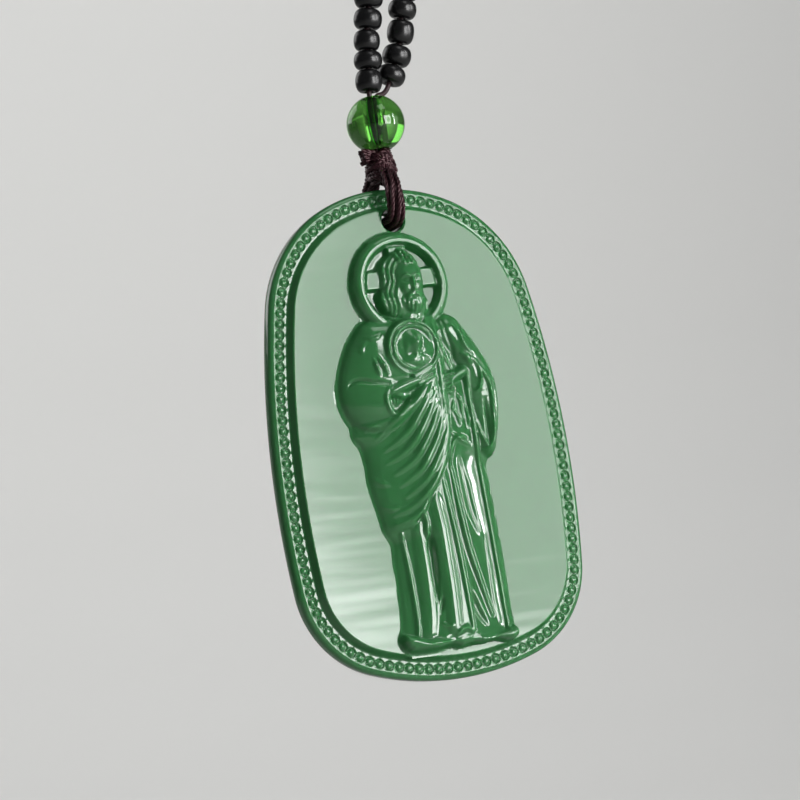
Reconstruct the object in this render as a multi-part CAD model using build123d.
from build123d import *
from math import acos, atan2, ceil, cos, degrees, hypot, pi, radians, sin, sqrt, tan
import os

# Carved jade pendant on a double string of black beads, hanging as it does when worn.
# Millimetres. X to the wearer's left as seen from the front, Y to the back, Z up.
# The origin is the inside of the string's top, where the necklace rests on the neck.

# String of black beads
BEAD_DIAMETER = 4.0
BEAD_LENGTH = 2.72
BEAD_BORE = 1.2
BEAD_FLAT = 1.9          # diameter of a bead's flat end
BEAD_BELT = 0.4          # height of the straight belt round a bead
BEAD_GAP = 0.13
THREAD_DIAMETER = 0.7
FIRST_BEAD = 0.5         # from the green bead's top to the first black bead
SIDE_BEAD = 1.0          # from the side thread's second turn to its first bead
NECK_RADIUS = 60.0       # of the string's middle line over the neck
STRING_DROP = 276.0      # from the neck to the middle of the green bead

# Green glass bead
GREEN_DIAMETER = 8.0
GREEN_BORE = 2.0
GREEN_FLARE = 3.3        # mouth of the bore at the bead's top and bottom
FLARE_DEPTH = 0.7
THREAD_SPREAD = 0.84     # between the two threads in the green bead

# Knotted cord
CORD_DIAMETER = 1.0
CORD_GAP = 0.12          # between the loop's strands
CORD_BEND = 1.2          # of the loop's middle line where it enters the hole
CORD_RAISE = 0.15        # of the loop over the hole's middle
CORD_CLEARANCE = 0.2     # between the loop and the plaque's faces
KNOT_DIAMETER = 3.3
KNOT_LENGTH = 4.4
KNOT_RISE = 5.2          # from the hole's middle to the knot's lower end
KNOT_BACK = 1.0          # from the row of pearls' floor back to the knot's middle
KNOT_SIDE = 0.6          # from the plaque's middle to the knot's middle
KNOT_WRAP = 0.42         # radius of a wrapped turn
WRAP_SINK = 0.35         # depth of a wrapped turn in the knot, in shares of its radius
KNOT_END = 0.7           # radius of the knot's ends, in shares of its widest
FRONT_LEG = 0.63         # height of the loop's straight legs, in shares of KNOT_RISE
BACK_LEG = 0.87
LEG_END = 0.32           # height of the legs' ends in the knot, in shares of KNOT_LENGTH
LEG_SPREAD = 0.19        # of the legs' ends, in shares of KNOT_DIAMETER
LEG_FLARE = 0.6          # how far the outer strands' ends follow their legs outward
LEG_BEND = 1.0           # added to CORD_BEND where a leg turns to the knot in front
WRAPS = (  # up from the knot's middle in shares of KNOT_LENGTH; lean and turn in degrees
    (0.32, 24, 10), (0.08, -20, 60), (-0.16, 26, -30), (-0.34, -14, 20),
)
CUT_ENDS = (  # as above
    (0.36, -96, 12), (0.26, -104, -14), (0.17, -112, 4),
)
TUFT_LENGTH = 3.5
TUFT_DIAMETER = 0.55
KNOT_CLEARANCE = 0.2     # under the green bead
THREAD_CLEARANCE = 0.1   # over the knot

# Plaque: the middle line of its row of pearls is a closed line of tangent arcs
LINE_WIDTH = 41.0
SIDE_RADIUS = 129.8
SHOULDER_RADIUS = 16.6
FOOT_RADIUS = 12.1
SHOULDER_TOP = 65.7      # angles of the outline's normals where the arcs meet
SHOULDER_END = 11.2
FOOT_START = -5.8
FOOT_END = -71.2
RIM_MARGIN = 1.5         # from the row of pearls to the plaque's edge
RIM_DEPTH = 3.7          # from the row of pearls' floor to the back
FRONT_ROUND = 1.25
BACK_ROUND = 1.9
GROOVE_WIDTH = 1.7
GROOVE_DEPTH = 0.2
PEARL_DIAMETER = 1.1
PEARL_PITCH = 1.4445
FIELD_HEIGHT = 1.1       # the raised field over the rim
FIELD_SLOPE = 0.5
FIELD_MARGIN = 1.6       # from the row of pearls to the field's upper edge
HOLE_DIAMETER = 3.2
HOLE_DROP = 3.1          # from the row of pearls to the hole's middle
HOLE_CHAMFER = 0.25

# Carved figure
FOOT_CLEARANCE = 0.75    # below the figure, to the field's edge
HALO_CLEARANCE = 0.35    # above the figure, to the hole
SIDE_CLEARANCE = 7.0     # beside the figure, to the field's edge
HALF_FIGURE = 21         # hundredths from the plaque's middle to the figure's side
CARVING_DEPTH = 3.2
CARVING_ROOT = 0.4       # how far the carving reaches into the field
CARVING_EDGE = 0.12
CARVING_COLUMNS = 34
HEAD_ROW = 0.75          # spacing of the carving's rows, hundredths of the figure
BODY_ROW = 1.35
HEAD_START = 5           # the closer rows start this far under the robe's top
HALO_TRIM = 0.35         # between the last row and the halo's top
ROBE_POWER = 1.1         # above 1 the robe's back is flatter
FOLD_POWER = 1.5         # above 1 a fold's flanks are hollow
FOLD_FADE = 0.25         # height under which folds fade towards the robe's edge

# The carving's tables: across and up in hundredths of the figure's height, from its middle and
# its sole; depths in shares of CARVING_DEPTH.
ROBE = (  # up, left, right, depth
    (-0.8, -11.0, 12.5, 0.42), (0.6, -13.0, 14.2, 0.52), (2.0, -14.2, 15.4, 0.58),
    (3.6, -14.5, 15.7, 0.62), (5.2, -13.8, 15.4, 0.60), (7.0, -13.2, 14.9, 0.60),
    (14.0, -13.1, 14.4, 0.62), (22.0, -12.9, 14.1, 0.66), (26.5, -12.9, 13.9, 0.70),
    (28.6, -13.6, 13.8, 0.72), (32.0, -14.0, 13.7, 0.74), (36.5, -15.3, 13.6, 0.76),
    (41.5, -16.1, 13.6, 0.78), (43.4, -16.2, 14.2, 0.78), (44.8, -16.3, 15.8, 0.78),
    (46.5, -16.3, 16.9, 0.78), (50.0, -17.1, 18.0, 0.80), (54.5, -18.3, 18.8, 0.80),
    (57.0, -20.0, 19.2, 0.80), (59.5, -20.8, 19.5, 0.80), (62.0, -21.0, 19.7, 0.80),
    (64.5, -20.9, 19.3, 0.80), (66.5, -20.2, 17.9, 0.80), (68.5, -18.6, 16.3, 0.80),
    (71.0, -17.3, 14.8, 0.80), (73.7, -16.2, 13.3, 0.76), (75.5, -15.0, 12.2, 0.72),
    (77.3, -13.0, 10.4, 0.66), (79.0, -10.4, 8.6, 0.58), (81.0, -8.0, 6.4, 0.50),
    (83.0, -5.5, 4.5, 0.40),
)
LIMBS = {  # name: nodes of across, up, radius, depth
    "near_sleeve": ((-11.6, 74.2, 5.2, 0.84), (-14.2, 68.5, 6.4, 0.90), (-14.8, 61.2, 6.2, 0.98),
                    (-10.6, 59.8, 5.4, 1.00)),
    "far_sleeve": ((8.6, 75.2, 4.6, 0.76), (12.2, 69.0, 4.6, 0.86), (14.4, 62.5, 4.9, 0.84),
                   (14.9, 53.0, 4.0, 0.66), (14.5, 47.2, 3.2, 0.56)),
    "near_hand": ((-9.0, 60.8, 2.6, 0.98), (-5.2, 62.6, 2.3, 1.02), (-1.8, 65.4, 1.6, 1.04)),
    "far_hand": ((9.6, 64.4, 1.9, 0.86), (7.4, 63.4, 1.8, 0.93), (4.8, 62.4, 1.4, 0.94)),
    "staff": ((10.9, 65.4, 0.85, 0.86), (11.9, 36.0, 0.85, 0.74), (12.9, 4.6, 0.85, 0.66)),
    "hair_left": ((-1.0, 93.0, 2.6, 0.74), (-4.2, 90.6, 2.4, 0.70), (-5.2, 86.4, 2.3, 0.64),
                  (-5.0, 82.6, 2.5, 0.62), (-5.2, 80.0, 2.2, 0.60)),
    "hair_right": ((-1.0, 93.0, 2.6, 0.74), (2.4, 90.6, 2.4, 0.70), (3.4, 86.4, 2.3, 0.64),
                   (3.2, 82.6, 2.5, 0.62), (3.4, 80.0, 2.2, 0.60)),
}
MOUNDS = {  # name: across, up, half width, half height, base, lift
    "skull": (-0.9, 88.6, 4.5, 5.7, 0.30, 0.56),
    "face": (-0.9, 86.4, 3.2, 5.2, 0.40, 0.52),
    "beard": (-0.9, 82.0, 3.0, 3.4, 0.40, 0.44),
    "neck": (-0.9, 80.0, 2.8, 3.0, 0.40, 0.26),
}
MANTLE_EDGE = (  # across, up
    (2.6, 79.5), (0.5, 73.0), (-0.6, 66.0), (-1.2, 62.6), (-4.0, 60.0), (-7.0, 57.4), (-10.0, 55.4),
    (-14.0, 53.6), (-24.0, 52.4), (-24.0, 24.0), (-15.5, 26.2), (-12.6, 27.6), (-10.8, 28.4),
    (-8.0, 27.4), (-6.3, 25.9), (-5.0, 26.3), (-4.1, 28.4), (-4.2, 30.8), (-4.9, 33.2), (-3.2, 36.0),
    (-1.2, 38.6), (0.8, 41.6), (2.6, 45.2), (3.9, 49.0), (4.7, 53.0), (5.2, 58.0), (5.8, 66.0),
    (6.3, 72.0), (5.6, 79.5),
)
MANTLE_STEP = 0.13
CUFF_EDGE = (
    (-10.0, 63.2), (-10.4, 60.0), (-9.9, 57.0), (-8.0, 56.2), (-5.0, 58.6), (-3.4, 61.0), (-6.0, 62.6),
    (-8.6, 63.6),
)
CUFF_STEP = -0.22
MANTLE_FOLDS = (  # half width, lift, (across, up) along the fold
    (1.6, 0.18, ((2.2, 66.0), (-4.0, 58.7), (-10.0, 53.8), (-17.0, 49.6))),
    (1.4, 0.17, ((2.9, 66.5), (-1.2, 59.0), (-7.0, 52.0), (-15.0, 46.2))),
    (1.2, 0.15, ((3.2, 65.5), (-0.7, 55.7), (-7.3, 47.8), (-11.0, 45.0))),
    (1.2, 0.15, ((3.6, 60.0), (0.2, 48.8), (-5.0, 41.2), (-13.0, 36.8))),
    (1.4, 0.18, ((4.2, 59.0), (1.2, 46.2), (-3.1, 39.2), (-10.5, 34.4))),
)
TUNIC_FOLDS = (
    (1.8, 0.12, ((-12.6, 27.5), (-12.5, 18.0), (-13.0, 5.0))),
    (2.3, 0.17, ((-7.9, 29.0), (-7.5, 20.0), (-8.0, 5.5))),
    (2.4, 0.18, ((-2.4, 37.0), (-1.6, 28.0), (-1.2, 5.0))),
    (1.4, 0.13, ((2.0, 40.0), (2.3, 28.0), (3.0, 6.0))),
    (1.3, 0.14, ((3.4, 42.0), (5.1, 20.0), (8.0, 6.0))),
    (1.9, 0.16, ((7.2, 46.0), (8.3, 27.0), (10.4, 8.0))),
)
OTHER_FOLDS = (
    (1.0, 0.16, ((14.9, 65.6), (16.2, 57.0), (15.0, 47.2), (14.0, 45.8))),
    (1.0, 0.15, ((8.4, 49.0), (4.4, 46.8), (2.8, 41.0))),
    (1.0, -0.18, ((-19.6, 63.6), (-16.0, 65.7), (-9.4, 64.8))),
    (0.9, -0.14, ((-11.9, 72.0), (-11.7, 66.4))),
    (0.9, 0.10, ((-7.0, 80.0), (-1.4, 77.7), (3.6, 79.6))),
    (2.4, 0.08, ((-12.5, 3.0), (-4.0, 2.6))),
    (1.8, 0.08, ((2.0, 2.0), (13.0, 2.6))),
)
NOSE = (0.8, 0.12, ((-0.9, 87.8), (-0.9, 84.1)))
HALO = (-1.2, 87.6)      # its middle
HALO_OUTER, HALO_CREST, HALO_INNER = 12.2, 10.5, 9.8
HALO_RISE = 0.44
BAR_UP, BAR_HALF, BAR_RISE = 88.3, 1.95, 0.26
POST_HALF, POST_RISE = 2.7, 0.34
MEDAL = (-1.9, 70.9)     # its middle
MEDAL_RADIUS, MEDAL_RISE, MEDAL_RIM, MEDAL_RING = 6.3, 0.91, 5.7, 0.09
MEDAL_HEAD = (-1.8, 71.3, 2.2, 2.9, 0.90, 0.13)


def outline_arcs(margin):
    """Centre, radius and two angles of each arc right of the middle, from the top down."""
    def beside(angle):
        return Vector(cos(radians(angle)), 0, sin(radians(angle)))
    side = Vector(LINE_WIDTH / 2 - SIDE_RADIUS, 0, 0)
    shoulder = side + beside(SHOULDER_END) * (SIDE_RADIUS - SHOULDER_RADIUS)
    foot = side + beside(FOOT_START) * (SIDE_RADIUS - FOOT_RADIUS)
    top_radius = SHOULDER_RADIUS + shoulder.X / cos(radians(SHOULDER_TOP))
    top = shoulder + beside(SHOULDER_TOP) * (SHOULDER_RADIUS - top_radius)
    bottom_radius = FOOT_RADIUS + foot.X / cos(radians(FOOT_END))
    bottom = foot + beside(FOOT_END) * (FOOT_RADIUS - bottom_radius)
    return [
        (top, top_radius + margin, 90, SHOULDER_TOP),
        (shoulder, SHOULDER_RADIUS + margin, SHOULDER_TOP, SHOULDER_END),
        (side, SIDE_RADIUS + margin, SHOULDER_END, FOOT_START),
        (foot, FOOT_RADIUS + margin, FOOT_START, FOOT_END),
        (bottom, bottom_radius + margin, FOOT_END, -90),
    ]


def arc_point(centre, radius, angle):
    return centre + Vector(cos(radians(angle)), 0, sin(radians(angle))) * radius


def outline(margin, depth):
    """The plaque's outline, moved out by margin, at a depth behind the row of pearls."""
    edges = []
    for side in (1, -1):
        for centre, radius, start, end in outline_arcs(margin):
            points = [arc_point(centre, radius, angle) for angle in (start, (start + end) / 2, end)]
            points = [Vector(side * point.X, depth, point.Z) for point in points]
            edges.append(ThreePointArc(*points).edge())
    return Wire(edges)


def line_end(top):
    """Height of the row of pearls' top or bottom over the widest arc's middle."""
    centre, radius, start, end = outline_arcs(0)[0 if top else -1]
    return centre.Z + (radius if top else -radius)


def pearl_places():
    """Points evenly spaced along the row of pearls."""
    arcs = outline_arcs(0)
    half = sum(radius * radians(start - end) for centre, radius, start, end in arcs)
    count = round(2 * half / PEARL_PITCH)
    places = []
    for index in range(count):
        along = (index + 0.5) * 2 * half / count
        side = 1 if along < half else -1
        rest = along if along < half else 2 * half - along
        for centre, radius, start, end in arcs:
            length = radius * radians(start - end)
            if rest <= length:
                break
            rest -= length
        point = arc_point(centre, radius, start - degrees(rest / radius))
        places.append(Vector(side * point.X, 0, point.Z))
    return places


LINE_TOP, LINE_BOTTOM = line_end(True), line_end(False)
HOLE_UP = LINE_TOP - HOLE_DROP
FIGURE_FOOT = LINE_BOTTOM + FIELD_MARGIN + FOOT_CLEARANCE
FIGURE_HEIGHT = HOLE_UP - HOLE_DIAMETER / 2 - HALO_CLEARANCE - FIGURE_FOOT
UP_UNIT = FIGURE_HEIGHT / 100
ACROSS_UNIT = (LINE_WIDTH / 2 - FIELD_MARGIN - SIDE_CLEARANCE) / HALF_FIGURE


def table_value(up, column):
    """A column of the robe's table at a height, as a smooth curve through its rows."""
    rows = ROBE
    place = 0
    while place < len(rows) - 2 and up > rows[place + 1][0]:
        place += 1

    def slope(index):
        low, high = max(index - 1, 0), min(index + 1, len(rows) - 1)
        return (rows[high][column] - rows[low][column]) / (rows[high][0] - rows[low][0])
    gap = rows[place + 1][0] - rows[place][0]
    t = min(max((up - rows[place][0]) / gap, 0), 1)
    return (rows[place][column] * (1 + 2 * t) * (1 - t) ** 2 + gap * slope(place) * t * (1 - t) ** 2
            + rows[place + 1][column] * t * t * (3 - 2 * t) + gap * slope(place + 1) * t * t * (t - 1))


def nearest(across, up, start, end):
    """Distance to a line between two points, and where along it, from 0 to 1."""
    wide, high = end[0] - start[0], end[1] - start[1]
    along = ((across - start[0]) * wide + (up - start[1]) * high) / (wide * wide + high * high)
    along = min(max(along, 0), 1)
    return hypot(across - start[0] - along * wide, up - start[1] - along * high), along


def rounded(ratio):
    """Height of a round back at a share of its half width."""
    return sqrt(max(1 - ratio * ratio, 0))


def robe_height(across, up):
    left, right, depth = (table_value(up, column) for column in (1, 2, 3))
    ratio = abs(across - (left + right) / 2) / ((right - left) / 2)
    if ratio >= 1 or up > ROBE[-1][0]:
        return 0
    return depth * rounded(ratio ** ROBE_POWER)


def limb_height(across, up, nodes):
    best = 0
    for first, second in zip(nodes, nodes[1:]):
        distance, along = nearest(across, up, first, second)
        radius = first[2] + (second[2] - first[2]) * along
        depth = first[3] + (second[3] - first[3]) * along
        best = max(best, depth * rounded(distance / radius))
    return best


def mound_height(across, up, mound):
    middle, height, wide, high, base, lift = mound
    ratio = hypot((across - middle) / wide, (up - height) / high)
    return base + lift * rounded(ratio) if ratio < 1 else 0


def fold_height(across, up, folds):
    total = 0
    for half_width, lift, points in folds:
        spans = [nearest(across, up, first, second)[0] for first, second in zip(points, points[1:])]
        total += lift * max(1 - (min(spans) / half_width) ** 2, 0) ** FOLD_POWER
    return total


def edge_distance(across, up, edge):
    """Distance inside a closed edge, or negative outside it."""
    closed = list(zip(edge, edge[1:] + edge[:1]))
    distance = min(nearest(across, up, start, end)[0] for start, end in closed)
    inside = False
    for start, end in closed:
        if (start[1] > up) != (end[1] > up):
            crossing = start[0] + (end[0] - start[0]) * (up - start[1]) / (end[1] - start[1])
            inside ^= across < crossing
    return distance if inside else -distance


def halo_height(across, up):
    radius = hypot(across - HALO[0], up - HALO[1])
    height = 0
    if HALO_CREST <= radius < HALO_OUTER:
        height = HALO_RISE * rounded((radius - HALO_CREST) / (HALO_OUTER - HALO_CREST))
    elif HALO_INNER < radius < HALO_CREST:
        height = HALO_RISE * sqrt((radius - HALO_INNER) / (HALO_CREST - HALO_INNER))
    elif radius <= HALO_INNER and abs(up - BAR_UP) < BAR_HALF:
        height = BAR_RISE
    elif radius <= HALO_INNER and up > HALO[1] and abs(across - HALO[0]) < POST_HALF:
        height = POST_RISE
    return height


def medal_height(across, up):
    radius = hypot(across - MEDAL[0], up - MEDAL[1])
    if radius > MEDAL_RADIUS:
        return 0
    ring = MEDAL_RING * max(1 - ((radius - MEDAL_RIM) / (MEDAL_RADIUS - MEDAL_RIM)) ** 2, 0)
    return max(MEDAL_RISE + ring, mound_height(across, up, MEDAL_HEAD))


def carving_height(across, up):
    """Depth of the carving over the field, in shares of CARVING_DEPTH."""
    height = max(robe_height(across, up), limb_height(across, up, LIMBS["near_sleeve"]),
                 limb_height(across, up, LIMBS["far_sleeve"]))
    if height > 0:
        mantle = edge_distance(across, up, MANTLE_EDGE)
        cuff = edge_distance(across, up, CUFF_EDGE)
        added = MANTLE_STEP * rounded(1 - min(max(mantle, 0), 1))
        added += CUFF_STEP * min(max(cuff, 0), 1)
        added += fold_height(across, up, MANTLE_FOLDS + OTHER_FOLDS)
        if mantle < 0:
            added += fold_height(across, up, TUNIC_FOLDS)
        height += added * min(height / FOLD_FADE, 1)
    carved = [limb_height(across, up, nodes) for nodes in LIMBS.values()]
    carved += [mound_height(across, up, mound) for mound in MOUNDS.values()]
    carved += [halo_height(across, up), medal_height(across, up)]
    return max([height] + carved) + fold_height(across, up, [NOSE])


def carving_ends(up):
    """Left and right edge of the carving at a height."""
    left, right = HALO[0], HALO[0]
    if up < ROBE[-1][0]:
        left, right = table_value(up, 1), table_value(up, 2)
    if abs(up - HALO[1]) < HALO_OUTER:
        half = sqrt(HALO_OUTER ** 2 - (up - HALO[1]) ** 2)
        left, right = min(left, HALO[0] - half), max(right, HALO[0] + half)
    return left, right


def carving_rows():
    """Heights of the carving's rows, closer over the head."""
    neck = ROBE[-1][0] - HEAD_START
    top = HALO[1] + HALO_OUTER - HALO_TRIM
    below = ceil((neck - ROBE[0][0]) / BODY_ROW)
    above = ceil((top - neck) / HEAD_ROW)
    rows = [ROBE[0][0] + (neck - ROBE[0][0]) * index / below for index in range(below)]
    return rows + [neck + (top - neck) * index / above for index in range(above + 1)]


def carving():
    """The figure as a faceted solid rooted in the field."""
    grid = []
    rows = carving_rows()
    for up in rows:
        left, right = carving_ends(up)
        line = []
        for column in range(CARVING_COLUMNS + 1):
            even = 2 * column / CARVING_COLUMNS - 1
            share = 0.5 * even + 0.5 * sin(even * pi / 2)
            across = (left + right) / 2 + share * (right - left) / 2
            on_edge = column in (0, CARVING_COLUMNS) or up in (rows[0], rows[-1])
            rise = 0 if on_edge else carving_height(across, up) * CARVING_DEPTH
            line.append(Vector(across * ACROSS_UNIT, -FIELD_HEIGHT - max(rise, CARVING_EDGE),
                               FIGURE_FOOT + up * UP_UNIT))
        grid.append(line)
    faces = []

    def triangle(*corners):
        faces.append(Face(Wire.make_polygon(corners)))
    for lower, upper in zip(grid, grid[1:]):
        for column in range(CARVING_COLUMNS):
            triangle(lower[column], lower[column + 1], upper[column + 1])
            triangle(lower[column], upper[column + 1], upper[column])
    rim = grid[0] + [line[-1] for line in grid[1:]] + grid[-1][-2::-1]
    rim += [line[0] for line in grid[-2:0:-1]]
    root = [Vector(point.X, CARVING_ROOT - FIELD_HEIGHT, point.Z) for point in rim]
    for index in range(len(rim)):
        after = (index + 1) % len(rim)
        faces.append(Face(Wire.make_polygon([rim[index], rim[after], root[after], root[index]])))
    faces.append(Face(Wire.make_polygon(root)))
    return Solid(Shell(faces))


def plaque_solid():
    """The plaque with its rim, row of pearls, raised field, hole and carving, in its own frame."""
    body = extrude(Face(outline(RIM_MARGIN, RIM_DEPTH)), amount=RIM_DEPTH, dir=(0, -1, 0))
    for depth, radius in ((0, FRONT_ROUND), (RIM_DEPTH, BACK_ROUND)):
        body = fillet([edge for edge in body.edges() if abs(edge.center().Y - depth) < 0.01], radius)
    groove = extrude(Face(outline(GROOVE_WIDTH / 2, 0), [outline(-GROOVE_WIDTH / 2, 0)]),
                     amount=GROOVE_DEPTH, dir=(0, 1, 0))
    field = loft([Face(outline(FIELD_SLOPE - FIELD_MARGIN, 0)),
                  Face(outline(-FIELD_MARGIN, -FIELD_HEIGHT))])
    pearls = [Pos(place.X, GROOVE_DEPTH, place.Z) * Sphere(PEARL_DIAMETER / 2)
              for place in pearl_places()]
    body = body - groove + field + pearls
    middle, through = (RIM_DEPTH - FIELD_HEIGHT) / 2, RIM_DEPTH + FIELD_HEIGHT
    bore = Cylinder(HOLE_DIAMETER / 2, through)
    mouth = Cone(HOLE_DIAMETER / 2, HOLE_DIAMETER / 2 + HOLE_CHAMFER, HOLE_CHAMFER)
    for end in (0, 180):
        bore += Rot(end, 0, 0) * Pos(0, 0, (through - HOLE_CHAMFER) / 2) * mouth
    body = body - Pos(0, middle, HOLE_UP) * Rot(90, 0, 0) * bore
    return body + carving()


def rounded_path(points, radii):
    """Straight runs through the points, joined by tangent arcs."""
    edges, start = [], points[0]
    for before, corner, after, radius in zip(points, points[1:], points[2:], radii):
        back, ahead = (before - corner).normalized(), (after - corner).normalized()
        half = radians(back.get_angle(ahead)) / 2
        inward = (back + ahead).normalized()
        first, second = corner + back * (radius / tan(half)), corner + ahead * (radius / tan(half))
        middle = corner + inward * (radius / sin(half) - radius)
        edges += [Line(start, first).edge(), ThreePointArc(first, middle, second).edge()]
        start = second
    return edges + [Line(start, points[-1]).edge()]


def widest_radii(points):
    """Each corner's largest arc that leaves a tenth of the shorter run straight."""
    radii = []
    for before, corner, after in zip(points, points[1:], points[2:]):
        back, ahead = before - corner, after - corner
        half_turn = radians(180 - back.get_angle(ahead)) / 2
        radii.append(0.45 * min(back.length, ahead.length) / tan(half_turn))
    return radii


def tube(path, diameter):
    start = path.position_at(0)
    section = Plane(origin=start, z_dir=path.tangent_at(0)) * Circle(diameter / 2)
    return sweep(section, path=path)


# Heights of the hanging pieces
GREEN_UP = -STRING_DROP
KNOT_TOP = GREEN_UP - GREEN_DIAMETER / 2 - KNOT_CLEARANCE
HOLE_LEVEL = KNOT_TOP - KNOT_LENGTH - KNOT_RISE
HANG = Vector(KNOT_SIDE, KNOT_BACK, GREEN_UP)        # the green bead's middle
PLAQUE_PLACE = Pos(0, 0, HOLE_LEVEL - HOLE_UP)


def cord_strand(side, outward):
    """One strand of the loop: up in front of the plaque, through the hole and up behind it."""
    half = CORD_DIAMETER + CORD_GAP / 2
    front = -FIELD_HEIGHT - CORD_CLEARANCE - half - outward
    back = RIM_DEPTH + CORD_CLEARANCE + half + outward
    across = side * (CORD_DIAMETER + CORD_GAP) / 2
    low = HOLE_LEVEL + CORD_RAISE - outward
    end = HOLE_LEVEL + KNOT_RISE + KNOT_LENGTH * LEG_END
    reach = KNOT_DIAMETER * LEG_SPREAD + outward * LEG_FLARE
    points = [
        Vector(KNOT_SIDE + across, KNOT_BACK - reach, end),
        Vector(across, front, HOLE_LEVEL + KNOT_RISE * FRONT_LEG),
        Vector(across, front, low),
        Vector(across, back, low),
        Vector(across, back, HOLE_LEVEL + KNOT_RISE * BACK_LEG),
        Vector(KNOT_SIDE + across, KNOT_BACK + reach, end),
    ]
    bend = CORD_BEND + outward
    return tube(Wire(rounded_path(points, [bend + LEG_BEND, bend, bend, bend])), CORD_DIAMETER)


def hanging_cord():
    """The doubled loop through the plaque's hole, its knot and the knot's cut ends."""
    middle = HANG - Vector(0, 0, GREEN_DIAMETER / 2 + KNOT_CLEARANCE + KNOT_LENGTH / 2)
    half, radius = KNOT_LENGTH / 2, KNOT_DIAMETER / 2
    end = radius * KNOT_END
    with BuildSketch(Plane.XZ) as profile:
        with BuildLine():
            Polyline((end, half), (0, half), (0, -half), (end, -half))
            ThreePointArc((end, -half), (radius, 0), (end, half))
        make_face()
    knot = revolve(profile.sketch, axis=Axis.Z)
    for up, lean, turn in WRAPS:
        wrap = Torus(radius - KNOT_WRAP * WRAP_SINK, KNOT_WRAP)
        knot += Pos(0, 0, up * KNOT_LENGTH) * Rot(0, 0, turn) * Rot(0, lean, 0) * wrap
    for up, lean, turn in CUT_ENDS:
        strand = Pos(0, 0, TUFT_LENGTH / 2) * Cylinder(TUFT_DIAMETER / 2, TUFT_LENGTH)
        knot += Pos(0, 0, up * KNOT_LENGTH) * Rot(0, 0, turn) * Rot(0, lean, 0) * strand
    cord = Pos(middle.X, middle.Y, middle.Z) * knot
    gap = CORD_DIAMETER + CORD_GAP
    for side in (-1, 1):
        for outward in (-gap / 2, gap / 2):
            cord += cord_strand(side, outward)
    over = HANG + Vector(0, 0, -GREEN_DIAMETER / 2 - KNOT_CLEARANCE + KNOT_LENGTH)
    return cord - Pos(over.X, over.Y, over.Z) * Box(GREEN_DIAMETER, GREEN_DIAMETER, 2 * KNOT_LENGTH)


def green_bead():
    """Round glass bead, drilled through, with a flared mouth at both ends."""
    bead = Sphere(GREEN_DIAMETER / 2) - Cylinder(GREEN_BORE / 2, GREEN_DIAMETER)
    edge = sqrt(GREEN_DIAMETER ** 2 - GREEN_FLARE ** 2) / 2
    flare = Cone(GREEN_BORE / 2, GREEN_FLARE / 2, FLARE_DEPTH)
    cap = Cylinder(GREEN_FLARE / 2, FLARE_DEPTH)
    for end in (0, 180):
        bead -= Rot(end, 0, 0) * (Pos(0, 0, edge - FLARE_DEPTH / 2) * flare)
        bead -= Rot(end, 0, 0) * (Pos(0, 0, edge + FLARE_DEPTH / 2) * cap)
    return Pos(HANG.X, HANG.Y, HANG.Z) * bead


# The string's way up from the knot, chosen by eye: points from the green bead's middle
NEAR_ROUTE = ((-THREAD_SPREAD / 2, 0.0, -4.1), (-THREAD_SPREAD / 2, 0.0, 3.4), (0.3, 0.0, 8.6),
              (0.6, -0.1, 12.6), (1.5, -0.3, 16.0), (1.9, -0.4, 19.4), (0.2, -0.6, 25.6),
              (-5.4, -1.0, 44.0))
SIDE_ROUTE = ((THREAD_SPREAD / 2, 0.0, -4.1), (THREAD_SPREAD / 2, 0.0, 3.95), (2.75, 1.1, 4.35),
              (4.9, 1.3, 8.6), (6.0, 0.8, 11.4), (6.4, 0.4, 14.4), (7.6, 0.0, 18.6),
              (10.6, -0.6, 27.0), (15.4, -1.0, 43.0))


def string_path():
    """The thread's whole way: up one side, over the neck and down the other."""
    neck = Vector(0, 0, BEAD_DIAMETER / 2 - NECK_RADIUS)
    legs = []
    for side, route in ((-1, NEAR_ROUTE), (1, SIDE_ROUTE)):
        points = [HANG + Vector(*place) for place in route]
        away = points[-1] - neck
        lean = atan2(away.Z, away.X) + side * acos(NECK_RADIUS / hypot(away.X, away.Z))
        legs.append(points + [neck + Vector(cos(lean), 0, sin(lean)) * NECK_RADIUS])
    near, far = legs[0], legs[1][::-1]
    over = ThreePointArc(near[-1], neck + Vector(0, 0, NECK_RADIUS), far[0]).edge()
    print("arc radii", [round(radius, 1) for points in (near, far) for radius in widest_radii(points)])
    return Wire(rounded_path(near, widest_radii(near)) + [over] + rounded_path(far, widest_radii(far)))


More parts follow.
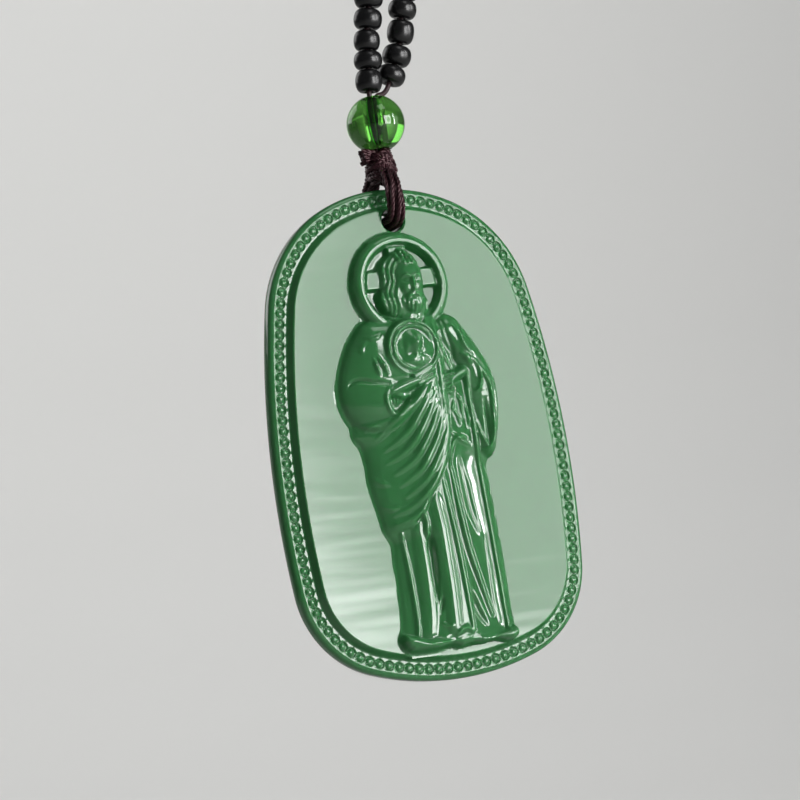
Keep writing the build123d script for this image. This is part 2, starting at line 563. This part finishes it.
def black_bead():
    """Short round glass bead, drilled through, standing on its bore."""
    half, bore, flat = BEAD_LENGTH / 2, BEAD_BORE / 2, BEAD_FLAT / 2
    side, belt = BEAD_DIAMETER / 2, BEAD_BELT / 2
    with BuildSketch(Plane.XZ) as profile:
        with BuildLine():
            Polyline((flat, -half), (bore, -half), (bore, half), (flat, half))
            TangentArc((side, belt), (flat, half), tangent=(0, 1))
            Line((side, belt), (side, -belt))
            TangentArc((side, -belt), (flat, -half), tangent=(0, -1))
        make_face()
    return revolve(profile.sketch, axis=Axis.Z)


def bead_places(path):
    """How far along the thread each bead lies: where it turns, the beads meet on its inner side."""
    def turn(start, end):
        before, after = (path.tangent_at(place, position_mode=PositionMode.LENGTH)
                         for place in (start, end))
        return radians(before.get_angle(after))
    bare = sum((Vector(*SIDE_ROUTE[end]) - Vector(*SIDE_ROUTE[end - 1])).length for end in (1, 2))
    last = path.length - bare - SIDE_BEAD - BEAD_LENGTH / 2
    pitch = BEAD_LENGTH + BEAD_GAP
    places = [GREEN_DIAMETER / 2 + FIRST_BEAD + BEAD_LENGTH / 2 - NEAR_ROUTE[0][2]]
    while places[-1] + pitch < last:
        step = pitch
        for attempt in range(3):
            step = pitch + BEAD_FLAT / 2 * turn(places[-1], places[-1] + step)
        places.append(places[-1] + step)
    half = len(places) // 2
    return places[:half], places[half:]


def bead_strand(path, places):
    bead = black_bead()
    beads = []
    for place in places:
        where = path.position_at(place, position_mode=PositionMode.LENGTH)
        along = path.tangent_at(place, position_mode=PositionMode.LENGTH)
        beads.append(Plane(origin=where, x_dir=(0, 1, 0), z_dir=along) * bead)
    return Compound(children=beads)


path = string_path()
near_places, far_places = bead_places(path)
nodes = {
    "plaque": PLAQUE_PLACE * plaque_solid(),
    "hanging_cord": hanging_cord(),
    "green_bead": green_bead(),
    "thread": tube(path, THREAD_DIAMETER),
    "bead_strand_left": bead_strand(path, far_places),
    "bead_strand_right": bead_strand(path, near_places),
}
os.makedirs("parts", exist_ok=True)
for name, solid in nodes.items():
    export_step(solid, f"parts/{name}.step")
    print(name, len(solid.solids()), "solids", round(solid.volume, 2), "mm3")
print("string", round(path.length, 1), "mm,", len(near_places) + len(far_places), "beads")
print("thread by length", round(path.length * pi * THREAD_DIAMETER ** 2 / 4, 2), "mm3")
